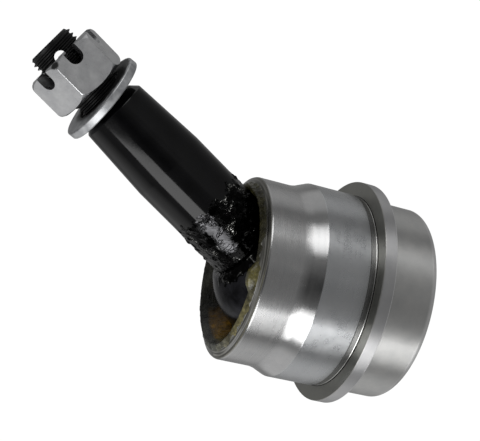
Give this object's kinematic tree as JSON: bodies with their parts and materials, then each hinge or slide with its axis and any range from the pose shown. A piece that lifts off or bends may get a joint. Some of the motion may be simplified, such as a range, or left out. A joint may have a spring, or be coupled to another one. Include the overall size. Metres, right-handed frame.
{
  "type": "suspension ball joint",
  "caption": "Press-in suspension ball joint: a flanged round steel housing with a tapered stud that swivels in its mouth, and a slotted nut and a flat washer on the stud's threaded end.",
  "frame": {"origin": "on the housing's axis, in the middle of the length of its press-in band", "axes": "+Z along the housing's axis and out of its mouth; +X the way the stud leans in the picture; +Y completes a right-handed frame"},
  "size_m": [0.0996, 0.0746, 0.1355],
  "materials": {
    "housing_steel": "turned and satin, bare steel",
    "bearing_metal": "sintered, greased",
    "ball_steel": "smooth black finish, greased",
    "stud_steel": "black phosphate, satin",
    "spring_steel": "oiled spring steel",
    "plate_steel": "pressed steel, satin",
    "seal_rubber": "matt black rubber",
    "zinc_steel": "bright zinc plate, satin",
    "washer_steel": "zinc plate, dull",
    "ball_chrome": "polished ball"
  },
  "bodies": {
    "housing": {"housing": "housing_steel", "upper_bearing": "bearing_metal", "preload_spring": "spring_steel", "cover_plate": "plate_steel", "cover_seal": "seal_rubber", "grease_fitting": "zinc_steel", "fitting_spring": "spring_steel"},
    "pressure_cup": {"lower_bearing": "bearing_metal"},
    "swivel": {"half_ball": "ball_steel"},
    "stud": {"ball_stud": "stud_steel"},
    "washer": {"flat_washer": "washer_steel"},
    "nut": {"slotted_nut": "zinc_steel"},
    "check_ball": {"fitting_check_ball": "ball_chrome"}
  },
  "joints": [
    {"name": "cup_turn", "type": "hinge", "parent": "housing", "child": "pressure_cup", "pos_m": [0, 0, 0.01], "axis": [0, 0, 1], "continuous": true},
    {"name": "stud_tilt", "type": "hinge", "parent": "pressure_cup", "child": "swivel", "pos_m": [0, 0, 0.01], "axis": [0, 1, 0], "range_deg": [-61.4, 0]},
    {"name": "stud_spin", "type": "hinge", "parent": "swivel", "child": "stud", "pos_m": [0, 0, 0.01], "axis": [0.5111, 0, 0.8595], "continuous": true},
    {"name": "nut_travel", "type": "slide", "parent": "stud", "child": "washer", "axis": [0.5111, 0, 0.8595], "range_m": [-0.0002, 0.0046]},
    {"name": "nut_turn", "type": "hinge", "parent": "washer", "child": "nut", "pos_m": [0, 0, 0.01], "axis": [0.5111, 0, 0.8595], "range_deg": [-48, 1080]},
    {"name": "check_ball_lift", "type": "slide", "parent": "housing", "child": "check_ball", "axis": [0, 0, 1], "range_m": [0, 0.001], "stiffness_N_per_m": 200, "springref_m": -0.0015, "deforming": ["fitting_spring"]}
  ],
  "couplings": [
    {"joint": "nut_travel", "follows": "nut_turn", "m_per_rad": 0.00023873}
  ]
}
